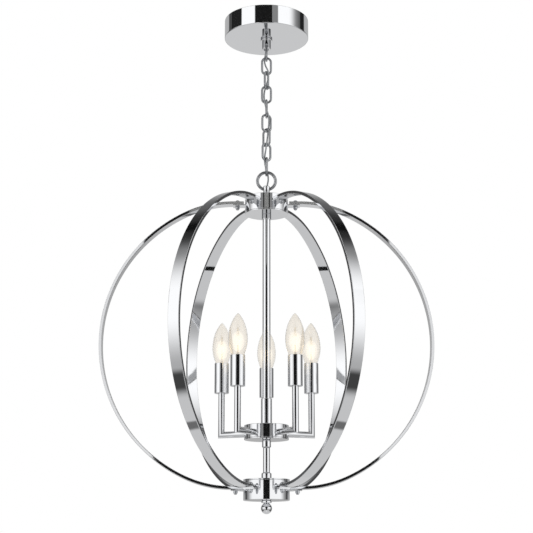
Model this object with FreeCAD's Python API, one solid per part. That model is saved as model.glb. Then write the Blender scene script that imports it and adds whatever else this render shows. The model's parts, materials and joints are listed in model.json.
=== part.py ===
import FreeCAD, Part
import math
import os

# Orb chandelier: a drum canopy, nine chain links and a ring carry a stem and a rod. Six half-round
# strap bands form the orb between two lugged hubs, and a five-arm candle cluster hangs inside it.
# Millimetres, +Z up. The origin is the centre of the ceiling plane, so everything hangs below z = 0.
V = FreeCAD.Vector
UP = V(0, 0, 1)

# ---- fits ----
RUN_GAP = 0.3           # between pieces that move against each other
SLIP = 0.1              # radial clearance of a tube or spigot in its hole

# ---- ceiling mounting ----
BAR_LENGTH, BAR_WIDTH, BAR_THICK = 112.0, 20.0, 3.0
BAR_SLOT_SPACING, BAR_SLOT_WIDTH, BAR_SLOT_LENGTH = 88.9, 5.0, 12.0
NIPPLE_DIA, NIPPLE_BORE, NIPPLE_BELOW_CEILING, NIPPLE_INTO_HOLDER = 10.0, 6.5, 0.5, 2.5
NUT_FLATS, NUT_THICK = 14.0, 4.5
CANOPY_DIA, CANOPY_HEIGHT, CANOPY_WALL, CANOPY_EDGE = 160.0, 36.5, 1.6, 1.5
COLLAR_DIA, COLLAR_HEIGHT = 23.0, 4.0
HOLDER_DIA, HOLDER_HEIGHT = 17.2, 21.0
PIN_DIA, PIN_DEPTH = 4.0, 14.0          # the cross pin, below the underside of the canopy

# ---- chain ----
LINK_WIRE, LINK_WIDTH, LINK_CLEAR_LENGTH = 4.2, 21.0, 28.9
LINK_AZIMUTHS = (90, 5, 68, -2, 88, 20, -45, 30, 95)
RING_WIRE, RING_OUTER_DIA = 5.6, 39.2

# ---- stem, rod and hubs ----
STEM_DIA, STEM_ABOVE_HUB, STEM_EYE_DIA = 12.4, 23.0, 8.0
SPIGOT_DIA, SPIGOT_LENGTH = 10.0, 12.0
HUB_WALL, HUB_EDGE, PLATE_THICK = 3.0, 0.8, 2.0
TOP_HUB_DIA, TOP_HUB_HEIGHT, TOP_HUB_LUG_DROP = 80.0, 31.9, 14.4
SOCKET_HUB_DIA, SOCKET_HUB_HEIGHT = 80.0, 26.0
BOTTOM_HUB_DIA, BOTTOM_HUB_HEIGHT, BOTTOM_HUB_LUG_DROP = 82.5, 36.9, 17.6
ROD_DIA, ROD_WALL, ROD_INTO_HUB = 14.6, 1.5, 4.0
ROD_COLLAR_DIA, ROD_COLLAR_HEIGHT = 18.0, 10.0
ROD_LENGTH_BETWEEN_HUBS = 391.4
COLUMN_DIA, COLUMN_HEIGHT = 20.0, 48.0
LOWER_DIA = 12.2                         # its length follows from the two hubs it joins
NECK_DIA, NECK_HEIGHT = 16.0, 14.0
BEAD_DIA, BEAD_HEIGHT = 18.0, 12.0
CUP_DIA, CUP_HEIGHT, BALL_DIA = 18.4, 5.0, 19.8

# ---- orb bands ----
BAND_COUNT, BAND_WIDTH, BAND_THICK = 6, 21.4, 5.5
ORB_RADIUS, ORB_HALF_HEIGHT = 301.25, 261.25      # to the middle of the strap
SHOULDER_SHAPE, FLAT_END = 3.03699, 22.0      # a higher shape bends the shoulder tighter
LUG_THICK, LUG_REACH, BOLT_FROM_HUB = 2.0, 22.0, 13.8
BOLT_DIA, BOLT_CLEARANCE, HEAD_DIA, HEAD_HEIGHT = 5.0, 0.2, 9.0, 4.4
BOLT_NUT_FLATS, BOLT_NUT_HEIGHT, BOLT_TAIL = 8.0, 4.5, 2.5
FIRST_BAND_AZIMUTH = -90.0

# ---- candle cluster ----
ARM_COUNT, ARM_RADIUS, ARM_DIA, ARM_WALL = 5, 86.0, 11.6, 1.2
FIRST_ARM_AZIMUTH = 180.0
ARM_RISE = 81.6                          # from the horizontal run up to the lampholder
SLEEVE_DIA, SLEEVE_WALL, SLEEVE_HEIGHT, SLEEVE_FLOOR = 26.4, 1.0, 55.0, 1.5
ARM_INTO_SLEEVE = 6.0
HOLDER_BODY_DIA, HOLDER_BORE, HOLDER_FLOOR = 23.0, 14.6, 6.0
CAP_DIA, CAP_LENGTH, CAP_TIP_DIA, CAP_TIP_LENGTH = 13.8, 30.0, 6.0, 4.0
GLASS_WALL, GLASS_HEIGHT, GLASS_DIA, GLASS_NECK_DIA = 1.0, 84.0, 35.0, 17.0
CORE_DIA, CORE_LENGTH, CORE_START = 4.0, 26.0, 30.0

# ---- wiring ----
CORD_DIA, LEAD_DIA, CORD_HOLE_DIA = 3.0, 3.0, 5.0
CANOPY_CORD_Y, HUB_CORD_Y, CORD_LARGEST_BEND = 16.0, 12.0, 18.0
CORD_START, CORD_OVER_HOLDER_END, CORD_OVER_RING = 18.0, 3.0, 6.0
CORD_HUB_LEVELS = (9.0, 27.0, 46.0)      # below the top hub's top: still outside the axis, then on it
LEAD_FROM_HUB_WALL = 25.0
# Where the cord passes each crossing of the chain: its azimuth, and its distance from the axis as a share
# of the links' width.
CORD_CROSSINGS = ((136, 0.39048), (318, 0.44762), (123, 0.42857), (234, 0.33333), (336, 0.29524), (69, 0.34762),
                  (270, 0.41429), (143, 0.31429), (45, 0.32381))


# ---- helpers ----
def save(node, shape):
    shape.exportStep("parts/%s.step" % node)


def cylinder(dia, low, high, x=0.0, y=0.0):
    return Part.makeCylinder(dia / 2, high - low, V(x, y, low))


def ring_shape(outer, inner, low, high):
    return cylinder(outer, low, high).cut(cylinder(inner, low - 1, high + 1))


def revolved(points):
    """Turn a closed outline of (radius, z) points about the Z axis."""
    wire = Part.makePolygon([V(r, 0, z) for r, z in points + points[:1]])
    return Part.Face(wire).revolve(V(0, 0, 0), UP, 360)


def hexagon(flats, low, high, x=0.0, y=0.0):
    corner = flats / math.sqrt(3)
    angles = [math.radians(60 * k) for k in range(7)]
    wire = Part.makePolygon([V(x + corner * math.cos(a), y + corner * math.sin(a), low) for a in angles])
    return Part.Face(wire).extrude(V(0, 0, high - low))


def turned(shape, azimuth):
    """A copy of shape turned about Z; azimuth 0 faces the front (-Y) and 90 faces +X."""
    copy = shape.copy()
    copy.rotate(V(0, 0, 0), UP, azimuth)
    return copy


def circle_wire(dia, centre, normal):
    return Part.Wire(Part.Circle(centre, normal, dia / 2).toShape())


def swept_tube(dia, path, mitred=False):
    """A round bar swept along a wire; a mitred one keeps its sharp corners."""
    first = path.OrderedEdges[0]
    start = first.valueAt(first.FirstParameter)
    sweep = Part.BRepOffsetAPI.MakePipeShell(path)
    if mitred:
        sweep.setTransitionMode(1)
    sweep.add(circle_wire(dia, start, first.tangentAt(first.FirstParameter)))
    sweep.build()
    sweep.makeSolid()
    return sweep.shape()


def rounded_path(points, largest_radius=None, label=None):
    """Straight runs joined by tangent arcs, each as large as its two runs allow."""
    edges = []
    start = points[0]
    for before, here, after in zip(points, points[1:], points[2:]):
        into, out = (here - before), (after - here)
        turn = into.getAngle(out)
        radius = 0.45 * min(into.Length, out.Length) / math.tan(turn / 2)
        if largest_radius:
            radius = min(radius, largest_radius)
        setback = radius * math.tan(turn / 2)
        into.normalize()
        out.normalize()
        arc_in, arc_out = here - into * setback, here + out * setback
        bisector = (out - into).normalize()
        middle = here + bisector * (radius / math.cos(turn / 2) - radius)
        edges.append(Part.LineSegment(start, arc_in).toShape())
        edges.append(Part.Arc(arc_in, middle, arc_out).toShape())
        start = arc_out
        if label:
            print("%s radius %.1f mm at z %.1f" % (label, radius, here.z))
    edges.append(Part.LineSegment(start, points[-1]).toShape())
    return Part.Wire(edges)


# ---- levels, from the ceiling down ----
canopy_bottom = -CANOPY_HEIGHT
holder_bottom = canopy_bottom - HOLDER_HEIGHT
pin_z = canopy_bottom - PIN_DEPTH
first_link_top = pin_z + (PIN_DIA + LINK_WIRE) / 2 + RUN_GAP     # wire centres from here on
link_centre_length = LINK_CLEAR_LENGTH + LINK_WIRE
link_pitch = link_centre_length - LINK_WIRE - RUN_GAP
link_tops = [first_link_top - k * link_pitch for k in range(len(LINK_AZIMUTHS))]
last_link_bottom = link_tops[-1] - link_centre_length
ring_radius = (RING_OUTER_DIA - RING_WIRE) / 2
ring_top = last_link_bottom + (LINK_WIRE + RING_WIRE) / 2 + RUN_GAP
ring_bottom = ring_top - 2 * ring_radius

# The eye clears the curved ring wire by the running gap where the wire leaves the stem.
wire_lean = math.asin(STEM_DIA / 2 / ring_radius)
wire_rise = ring_radius * (1 - math.cos(wire_lean))
eye_z = ring_bottom + wire_rise + RING_WIRE / 2 / math.cos(wire_lean) + RUN_GAP - STEM_EYE_DIA / 2
stem_top = eye_z + STEM_EYE_DIA / 2 + 2.2
top_hub_top = stem_top - STEM_ABOVE_HUB
top_hub_bottom = top_hub_top - TOP_HUB_HEIGHT
top_band_z = top_hub_top - TOP_HUB_LUG_DROP + BAND_THICK / 2     # middle of the strap
rod_top = top_hub_bottom + PLATE_THICK + ROD_INTO_HUB
socket_hub_top = top_hub_bottom - ROD_LENGTH_BETWEEN_HUBS
socket_hub_bottom = socket_hub_top - SOCKET_HUB_HEIGHT
arm_z = (socket_hub_top + socket_hub_bottom) / 2 - 1.5
rod_bottom = socket_hub_top - 6.0
bottom_band_z = top_band_z - 2 * ORB_HALF_HEIGHT
lower_top = socket_hub_bottom
bottom_hub_top = bottom_band_z - BAND_THICK / 2 + BOTTOM_HUB_LUG_DROP
bottom_hub_bottom = bottom_hub_top - BOTTOM_HUB_HEIGHT
equator_z = (top_band_z + bottom_band_z) / 2
top_hub_bolt_radius = TOP_HUB_DIA / 2 + BOLT_FROM_HUB
bottom_hub_bolt_radius = BOTTOM_HUB_DIA / 2 + BOLT_FROM_HUB
arm_top = arm_z + ARM_RISE
sleeve_bottom = arm_top - ARM_INTO_SLEEVE
sleeve_top = sleeve_bottom + SLEEVE_HEIGHT
cap_bottom = arm_top + HOLDER_FLOOR + RUN_GAP
cap_top = cap_bottom + CAP_TIP_LENGTH + CAP_LENGTH
holder_top = cap_top - RUN_GAP
band_azimuths = [FIRST_BAND_AZIMUTH + k * 360.0 / BAND_COUNT for k in range(BAND_COUNT)]
arm_azimuths = [FIRST_ARM_AZIMUTH + k * 360.0 / ARM_COUNT for k in range(ARM_COUNT)]


# ---- ceiling mounting ----
def crossbar():
    bar = Part.makeBox(BAR_LENGTH, BAR_WIDTH, BAR_THICK, V(-BAR_LENGTH / 2, -BAR_WIDTH / 2, -BAR_THICK))
    straight = BAR_SLOT_LENGTH - BAR_SLOT_WIDTH
    for side in (-1, 1):
        x = side * BAR_SLOT_SPACING / 2
        slot = Part.makeBox(straight, BAR_SLOT_WIDTH, BAR_THICK + 2,
                            V(x - straight / 2, -BAR_SLOT_WIDTH / 2, -BAR_THICK - 1))
        for end in (-1, 1):
            slot = slot.fuse(cylinder(BAR_SLOT_WIDTH, -BAR_THICK - 1, 1, x + end * straight / 2))
        bar = bar.cut(slot)
    bar = bar.cut(cylinder(NIPPLE_DIA + 2 * SLIP, -BAR_THICK - 1, 1))
    return bar.removeSplitter()


def nipple():
    low = canopy_bottom - COLLAR_HEIGHT - NIPPLE_INTO_HOLDER
    return ring_shape(NIPPLE_DIA, NIPPLE_BORE, low, -NIPPLE_BELOW_CEILING)


def nipple_nuts():
    bore = NIPPLE_DIA + 2 * SLIP
    nuts = []
    for low in (-BAR_THICK - NUT_THICK, canopy_bottom + CANOPY_WALL):
        nuts.append(hexagon(NUT_FLATS, low, low + NUT_THICK).cut(cylinder(bore, low - 1, low + NUT_THICK + 1)))
    return Part.makeCompound(nuts)


def canopy():
    outside = cylinder(CANOPY_DIA, canopy_bottom, 0)
    rim = [e for e in outside.Edges if abs(e.BoundBox.ZMax - canopy_bottom) < 0.01]
    outside = outside.makeFillet(CANOPY_EDGE, rim)
    inside = cylinder(CANOPY_DIA - 2 * CANOPY_WALL, canopy_bottom + CANOPY_WALL, 1)
    drum = outside.cut(inside).cut(cylinder(NIPPLE_DIA + 2 * SLIP, canopy_bottom - 1, 1))
    return drum.cut(cylinder(CORD_HOLE_DIA, canopy_bottom - 1, 1, 0, CANOPY_CORD_Y))


def loop_collar():
    collar = ring_shape(COLLAR_DIA, NIPPLE_DIA + 2 * SLIP, canopy_bottom - COLLAR_HEIGHT, canopy_bottom)
    rims = [e for e in collar.Edges if e.BoundBox.XLength > COLLAR_DIA - 0.1 and e.BoundBox.ZLength < 0.01]
    return collar.makeFillet(COLLAR_HEIGHT / 4, rims)


def loop_holder():
    """The slotted holder screwed on the nipple under the collar; its ears carry the cross pin."""
    top = canopy_bottom - COLLAR_HEIGHT
    body = cylinder(HOLDER_DIA, holder_bottom, top)
    foot = [e for e in body.Edges if abs(e.BoundBox.ZMax - holder_bottom) < 0.01]
    body = body.makeFillet(1.5, foot)
    slot_width = LINK_WIRE + 2 * RUN_GAP
    slot_top = first_link_top + LINK_WIRE / 2 + RUN_GAP
    slot = Part.makeBox(slot_width, HOLDER_DIA + 2, slot_top - holder_bottom + 1,
                        V(-slot_width / 2, -HOLDER_DIA / 2 - 1, holder_bottom - 1))
    pin_hole = Part.makeCylinder(PIN_DIA / 2 + SLIP, HOLDER_DIA + 2, V(-HOLDER_DIA / 2 - 1, 0, pin_z), V(1, 0, 0))
    thread = cylinder(NIPPLE_DIA + 2 * SLIP, slot_top - 1, top + 1)
    return body.cut(slot).cut(pin_hole).cut(thread)


def holder_pin():
    length = HOLDER_DIA - 0.6
    return Part.makeCylinder(PIN_DIA / 2, length, V(-length / 2, 0, pin_z), V(1, 0, 0))


# ---- chain ----
def chain_link(top, azimuth):
    """One welded link: round wire swept round a stadium of two half circles and two straights."""
    bend = (LINK_WIDTH - LINK_WIRE) / 2
    high, low = top - bend, top - link_centre_length + bend
    half = [V(bend, 0, low), V(bend, 0, high), V(-bend, 0, high), V(-bend, 0, low)]
    path = Part.Wire([Part.LineSegment(half[0], half[1]).toShape(),
                      Part.Arc(half[1], V(0, 0, high + bend), half[2]).toShape(),
                      Part.LineSegment(half[2], half[3]).toShape(),
                      Part.Arc(half[3], V(0, 0, low - bend), half[0]).toShape()])
    return turned(swept_tube(LINK_WIRE, path), azimuth)


def hang_ring():
    centre = V(0, 0, (ring_top + ring_bottom) / 2)
    return Part.makeTorus(ring_radius, RING_WIRE / 2, centre, V(0, 1, 0))


# ---- stem, rod and hubs ----
def eye_stem():
    stem = cylinder(STEM_DIA, top_hub_top, stem_top)
    crown = [e for e in stem.Edges if abs(e.BoundBox.ZMin - stem_top) < 0.01]
    stem = stem.makeFillet(1.6, crown)
    stem = stem.fuse(cylinder(SPIGOT_DIA, top_hub_top - SPIGOT_LENGTH, top_hub_top + 1)).removeSplitter()
    eye = Part.makeCylinder(STEM_EYE_DIA / 2, STEM_DIA + 2, V(-STEM_DIA / 2 - 1, 0, eye_z), V(1, 0, 0))
    return stem.cut(eye)


def hub_shell(dia, low, high, open_end):
    """A turned cup with softened outer edges, open at its 'top' or its 'bottom'."""
    body = cylinder(dia, low, high)
    closed_level = low if open_end == "top" else high
    edges = [e for e in body.Edges if e.BoundBox.XLength > dia - 1 and abs(e.BoundBox.ZMin - closed_level) < 0.01]
    body = body.makeFillet(HUB_EDGE, [e for e in edges if e.BoundBox.ZLength < 0.01])
    hollow_low = low + HUB_WALL if open_end == "top" else low - 1
    hollow_high = high + 1 if open_end == "top" else high - HUB_WALL
    return body.cut(cylinder(dia - 2 * HUB_WALL, hollow_low, hollow_high))


def with_lugs(shell, dia, band_z):
    """Weld one flat lug under each band end, with its bolt hole."""
    top = band_z - BAND_THICK / 2
    reach = dia / 2 + LUG_REACH
    hole_dia = BOLT_DIA + 2 * BOLT_CLEARANCE
    for azimuth in band_azimuths:
        start = dia / 2 - HUB_WALL / 2
        lug = Part.makeBox(BAND_WIDTH, reach - start, LUG_THICK, V(-BAND_WIDTH / 2, -reach, top - LUG_THICK))
        hole = cylinder(hole_dia, top - LUG_THICK - 1, top + 1, 0, -dia / 2 - BOLT_FROM_HUB)
        shell = shell.fuse(turned(lug.cut(hole), azimuth))
    return shell.removeSplitter()


def top_hub():
    shell = hub_shell(TOP_HUB_DIA, top_hub_bottom + PLATE_THICK, top_hub_top, "bottom")
    shell = with_lugs(shell, TOP_HUB_DIA, top_band_z)
    for dia, y in ((SPIGOT_DIA + 2 * SLIP, 0.0), (CORD_HOLE_DIA, HUB_CORD_Y)):
        shell = shell.cut(cylinder(dia, top_hub_top - HUB_WALL - 1, top_hub_top + 1, 0, y))
    return shell


def plate(dia, low, hole_dia):
    return ring_shape(dia, hole_dia, low, low + PLATE_THICK)


def main_rod():
    return ring_shape(ROD_DIA, ROD_DIA - 2 * ROD_WALL, rod_bottom, rod_top)


def rod_collar():
    return ring_shape(ROD_COLLAR_DIA, ROD_DIA + 2 * SLIP, top_hub_bottom - ROD_COLLAR_HEIGHT, top_hub_bottom)


def column():
    return ring_shape(COLUMN_DIA, ROD_DIA + 2 * SLIP, socket_hub_top, socket_hub_top + COLUMN_HEIGHT)


def socket_hub():
    shell = hub_shell(SOCKET_HUB_DIA, socket_hub_bottom + PLATE_THICK, socket_hub_top, "bottom")
    shell = shell.cut(cylinder(ROD_DIA + 2 * SLIP, socket_hub_top - HUB_WALL - 1, socket_hub_top + 1))
    for azimuth in arm_azimuths:
        port = Part.makeCylinder(ARM_DIA / 2 + SLIP, SOCKET_HUB_DIA, V(0, 0, arm_z), V(0, -1, 0))
        shell = shell.cut(turned(port, azimuth))
    return shell


def lower_stem():
    """One turned piece: neck, slim shaft and bead, with a spigot into the hub at either end."""
    spigot, shaft, neck, bead = SPIGOT_DIA / 2, LOWER_DIA / 2, NECK_DIA / 2, BEAD_DIA / 2
    top, low = lower_top, bottom_hub_top
    neck_low, bead_top = top - NECK_HEIGHT, low + BEAD_HEIGHT
    return revolved([(0, top + PLATE_THICK + 4), (spigot, top + PLATE_THICK + 4), (spigot, top),
                     (neck - 1, top), (neck, top - 1.5), (neck, neck_low + 3), (neck - 1.2, neck_low + 1),
                     (shaft, neck_low), (shaft, bead_top), (bead - 1.6, bead_top - 1.2),
                     (bead, bead_top - 3.6), (bead, low + 3.6), (bead - 1.6, low + 1.2), (bead - 2.6, low),
                     (spigot, low), (spigot, low - PLATE_THICK - 4), (0, low - PLATE_THICK - 4)])


def bottom_hub():
    shell = hub_shell(BOTTOM_HUB_DIA, bottom_hub_bottom, bottom_hub_top - PLATE_THICK, "top")
    shell = with_lugs(shell, BOTTOM_HUB_DIA, bottom_band_z)
    return shell.cut(cylinder(SPIGOT_DIA + 2 * SLIP, bottom_hub_bottom - 1, bottom_hub_bottom + HUB_WALL + 1))


def finial():
    cup_low = bottom_hub_bottom - CUP_HEIGHT
    cup = cylinder(CUP_DIA, cup_low, bottom_hub_bottom)
    lips = [e for e in cup.Edges if e.BoundBox.ZLength < 0.01 and abs(e.BoundBox.ZMax - cup_low) < 0.01]
    cup = cup.makeFillet(1.2, lips)
    ball = Part.makeSphere(BALL_DIA / 2, V(0, 0, cup_low - BALL_DIA / 2 + 1.2))
    stud = cylinder(SPIGOT_DIA, bottom_hub_bottom - 1, bottom_hub_bottom + HUB_WALL + 5)
    return cup.fuse([ball, stud]).removeSplitter()


# ---- orb bands ----
def band_outline(offset, flat_start, flat_length_end):
    """Edges of the half band at an offset from the strap's middle, from the top end to the bottom."""
    # The shoulder's radius follows the orb's width and height, so any two of them meet in a smooth curve.
    shoulder_radius = ORB_HALF_HEIGHT * ((ORB_RADIUS - flat_length_end) / ORB_HALF_HEIGHT) ** SHOULDER_SHAPE
    shoulder_z = ORB_HALF_HEIGHT - shoulder_radius
    spare = ORB_RADIUS - shoulder_radius
    main_centre = (spare ** 2 - flat_length_end ** 2 - shoulder_z ** 2) / (2 * (spare - flat_length_end))
    main_radius = ORB_RADIUS - main_centre + offset
    shoulder = shoulder_radius + offset
    lean = 1 if ORB_RADIUS - main_centre > shoulder_radius else -1
    reach = math.atan2(lean * shoulder_z, lean * (flat_length_end - main_centre))

    def point(centre_x, centre_z, radius, angle):
        return V(0, -(centre_x + radius * math.cos(angle)), equator_z + centre_z + radius * math.sin(angle))

    top_angle, half = math.pi / 2, (math.pi / 2 + reach) / 2
    upper = [point(flat_length_end, shoulder_z, shoulder, a) for a in (top_angle, half, reach)]
    belly = [point(main_centre, 0, main_radius, a) for a in (reach, 0, -reach)]
    lower = [point(flat_length_end, -shoulder_z, shoulder, a) for a in (-reach, -half, -top_angle)]
    top_start, bottom_end = V(0, -flat_start, upper[0].z), V(0, -flat_start, lower[2].z)
    return [Part.LineSegment(top_start, upper[0]).toShape(), Part.Arc(*upper).toShape(),
            Part.Arc(*belly).toShape(), Part.Arc(*lower).toShape(),
            Part.LineSegment(lower[2], bottom_end).toShape()]


def band(azimuth):
    """A flat strap bent to a half circle, its two ends flat on the lugs and drilled for the bolts."""
    start = max(TOP_HUB_DIA, BOTTOM_HUB_DIA) / 2 + 0.8
    flat_end = TOP_HUB_DIA / 2 + FLAT_END
    outer = band_outline(BAND_THICK / 2, start, flat_end)
    inner = band_outline(-BAND_THICK / 2, start, flat_end)
    ends = [Part.LineSegment(a.valueAt(t), b.valueAt(u)).toShape()
            for a, b, t, u in ((outer[0], inner[0], outer[0].FirstParameter, inner[0].FirstParameter),
                               (outer[-1], inner[-1], outer[-1].LastParameter, inner[-1].LastParameter))]
    profile = Part.Face(Part.Wire(Part.__sortEdges__(outer + inner + ends)))
    strap = profile.extrude(V(BAND_WIDTH, 0, 0))
    strap.translate(V(-BAND_WIDTH / 2, 0, 0))
    hole_dia = BOLT_DIA + 2 * BOLT_CLEARANCE
    for radius, level in ((top_hub_bolt_radius, top_band_z), (bottom_hub_bolt_radius, bottom_band_z)):
        strap = strap.cut(cylinder(hole_dia, level - BAND_THICK, level + BAND_THICK, 0, -radius))
    return turned(strap, azimuth)


def band_bolt(radius, level):
    """A dome-head bolt standing in a band end and its lug, at the front azimuth."""
    seat = level + BAND_THICK / 2
    tail = level - BAND_THICK / 2 - LUG_THICK - BOLT_NUT_HEIGHT - BOLT_TAIL
    half, crown = HEAD_DIA / 2, seat + HEAD_HEIGHT
    dome = [(0, crown), (half * 0.45, crown - 0.35), (half * 0.8, crown - 1.4), (half, seat + 1.2),
            (half, seat), (BOLT_DIA / 2, seat), (BOLT_DIA / 2, tail), (0, tail)]
    bolt = revolved(dome)
    bolt.translate(V(0, -radius, 0))
    return bolt


def band_nut(radius, level):
    high = level - BAND_THICK / 2 - LUG_THICK
    nut = hexagon(BOLT_NUT_FLATS, high - BOLT_NUT_HEIGHT, high, 0, -radius)
    return nut.cut(cylinder(BOLT_DIA + SLIP, high - BOLT_NUT_HEIGHT - 1, high + 1, 0, -radius))


def around_bands(make):
    places = ((top_hub_bolt_radius, top_band_z), (bottom_hub_bolt_radius, bottom_band_z))
    return Part.makeCompound([turned(make(*place), a) for place in places for a in band_azimuths])


# ---- candle cluster ----
def arm(azimuth):
    start = SOCKET_HUB_DIA / 2 - HUB_WALL - 2
    corners = [V(0, -start, arm_z), V(0, -ARM_RADIUS, arm_z), V(0, -ARM_RADIUS, arm_top)]
    path = Part.makePolygon(corners)
    tube = swept_tube(ARM_DIA, path, mitred=True).cut(swept_tube(ARM_DIA - 2 * ARM_WALL, path, mitred=True))
    return turned(tube, azimuth)


def at_candle(shape, azimuth):
    placed = shape.copy()
    placed.translate(V(0, -ARM_RADIUS, 0))
    return turned(placed, azimuth)


def candle_sleeve():
    tube = cylinder(SLEEVE_DIA, sleeve_bottom, sleeve_top)
    bore = cylinder(SLEEVE_DIA - 2 * SLEEVE_WALL, sleeve_bottom + SLEEVE_FLOOR, sleeve_top + 1)
    return tube.cut(bore).cut(cylinder(ARM_DIA + 2 * SLIP, sleeve_bottom - 1, sleeve_top))


def lampholder():
    body = cylinder(HOLDER_BODY_DIA, arm_top, holder_top)
    return body.cut(cylinder(HOLDER_BORE, arm_top + HOLDER_FLOOR, holder_top + 1))


def bulb_base():
    """The screw cap with its centre contact, and the lit core on its glass stem above it."""
    cap = cylinder(CAP_DIA, cap_bottom + CAP_TIP_LENGTH, cap_top)
    tip = cylinder(CAP_TIP_DIA, cap_bottom, cap_bottom + CAP_TIP_LENGTH + 1)
    stem = cylinder(CORE_DIA / 2, cap_top - 1, cap_top + CORE_START + 1)
    core = cylinder(CORE_DIA, cap_top + CORE_START, cap_top + CORE_START + CORE_LENGTH)
    return cap.fuse([tip, stem, core])


def glass_outline(inset):
    """Right-hand edge of the candle glass, from the neck up to the tip, moved in by inset."""
    shares = [(0.104, 0.65), (0.20, 0.80), (0.318, 0.943), (0.45, 1.0), (0.60, 0.937), (0.72, 0.80),
              (0.83, 0.60), (0.92, 0.354), (0.975, 0.17)]
    height = GLASS_HEIGHT - 1.5 * inset
    edge = [V(GLASS_NECK_DIA / 2 - inset, 0, cap_top)]
    edge += [V(GLASS_DIA / 2 * r - inset, 0, cap_top + t * height) for t, r in shares]
    return edge + [V(0, 0, cap_top + height)]


def bulb_glass():
    """A thin-walled candle envelope, open at the neck where the cap's glass stem goes in."""
    curves = []
    for inset in (0.0, GLASS_WALL):
        curve = Part.BSplineCurve()
        curve.interpolate(glass_outline(inset))
        curves.append(curve)
    outer, inner = curves
    closing = [Part.LineSegment(outer.EndPoint, inner.EndPoint), Part.LineSegment(inner.StartPoint, outer.StartPoint)]
    wall = Part.Wire([outer.toShape(), closing[0].toShape(), inner.toShape(), closing[1].toShape()])
    return Part.Face(wall).revolve(V(0, 0, 0), UP, 360)


# ---- wiring ----
def cord_points():
    """The cord's corners: it weaves from side to side and so passes through the links' windows.

    At each crossing of two links it stands in a wide quarter between their planes.
    """
    points = [V(0, CANOPY_CORD_Y, canopy_bottom + CORD_START),
              V(0, CANOPY_CORD_Y, holder_bottom + CORD_OVER_HOLDER_END)]
    for top, (azimuth, share) in zip(link_tops, CORD_CROSSINGS):
        angle, swing = math.radians(azimuth), share * LINK_WIDTH
        level = top - link_centre_length - LINK_WIRE / 2
        points.append(V(swing * math.cos(angle), swing * math.sin(angle), level))
    outside, turn, end = (top_hub_top - level for level in CORD_HUB_LEVELS)
    return points + [V(0, HUB_CORD_Y, ring_bottom + CORD_OVER_RING), V(0, HUB_CORD_Y, outside),
                     V(0, 0, turn), V(0, 0, end)]


def supply_cord():
    path = rounded_path(cord_points(), CORD_LARGEST_BEND, label="cord")
    cord = swept_tube(CORD_DIA, path)
    section = math.pi * CORD_DIA ** 2 / 4
    print("cord length %.1f mm, volume over section %.1f mm" % (path.Length, cord.Volume / section))
    return cord


def arm_leads():
    start = SOCKET_HUB_DIA / 2 - LEAD_FROM_HUB_WALL
    corners = [V(0, -start, arm_z), V(0, -ARM_RADIUS, arm_z), V(0, -ARM_RADIUS, arm_top)]
    lead = swept_tube(LEAD_DIA, rounded_path(corners, largest_radius=3 * LEAD_DIA))
    return Part.makeCompound([turned(lead, a) for a in arm_azimuths])


os.makedirs("parts", exist_ok=True)
save("crossbar", crossbar())
save("nipple", nipple())
save("nipple_nuts", nipple_nuts())
save("canopy", canopy())
save("loop_collar", loop_collar())
save("loop_holder", loop_holder())
save("holder_pin", holder_pin())
for number, (top, azimuth) in enumerate(zip(link_tops, LINK_AZIMUTHS), 1):
    save("chain_link_%d" % number, chain_link(top, azimuth))
save("hang_ring", hang_ring())
save("eye_stem", eye_stem())
save("top_hub", top_hub())
save("top_hub_plate", plate(TOP_HUB_DIA, top_hub_bottom, ROD_DIA + 2 * SLIP))
save("rod_collar", rod_collar())
save("main_rod", main_rod())
save("column", column())
save("socket_hub", socket_hub())
save("socket_hub_cover", plate(SOCKET_HUB_DIA, socket_hub_bottom, SPIGOT_DIA + 2 * SLIP))
save("lower_stem", lower_stem())
save("bottom_hub", bottom_hub())
save("bottom_hub_plate", plate(BOTTOM_HUB_DIA, bottom_hub_top - PLATE_THICK, SPIGOT_DIA + 2 * SLIP))
save("finial", finial())
for number, azimuth in enumerate(band_azimuths, 1):
    save("band_%d" % number, band(azimuth))
save("band_bolts", around_bands(band_bolt))
save("band_nuts", around_bands(band_nut))
for number, azimuth in enumerate(arm_azimuths, 1):
    save("arm_%d" % number, arm(azimuth))
    save("candle_sleeve_%d" % number, at_candle(candle_sleeve(), azimuth))
    save("bulb_base_%d" % number, at_candle(bulb_base(), azimuth))
    save("bulb_glass_%d" % number, at_candle(bulb_glass(), azimuth))
save("lampholders", Part.makeCompound([at_candle(lampholder(), a) for a in arm_azimuths]))
save("arm_leads", arm_leads())
save("supply_cord", supply_cord())
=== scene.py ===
import json
import math

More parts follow.
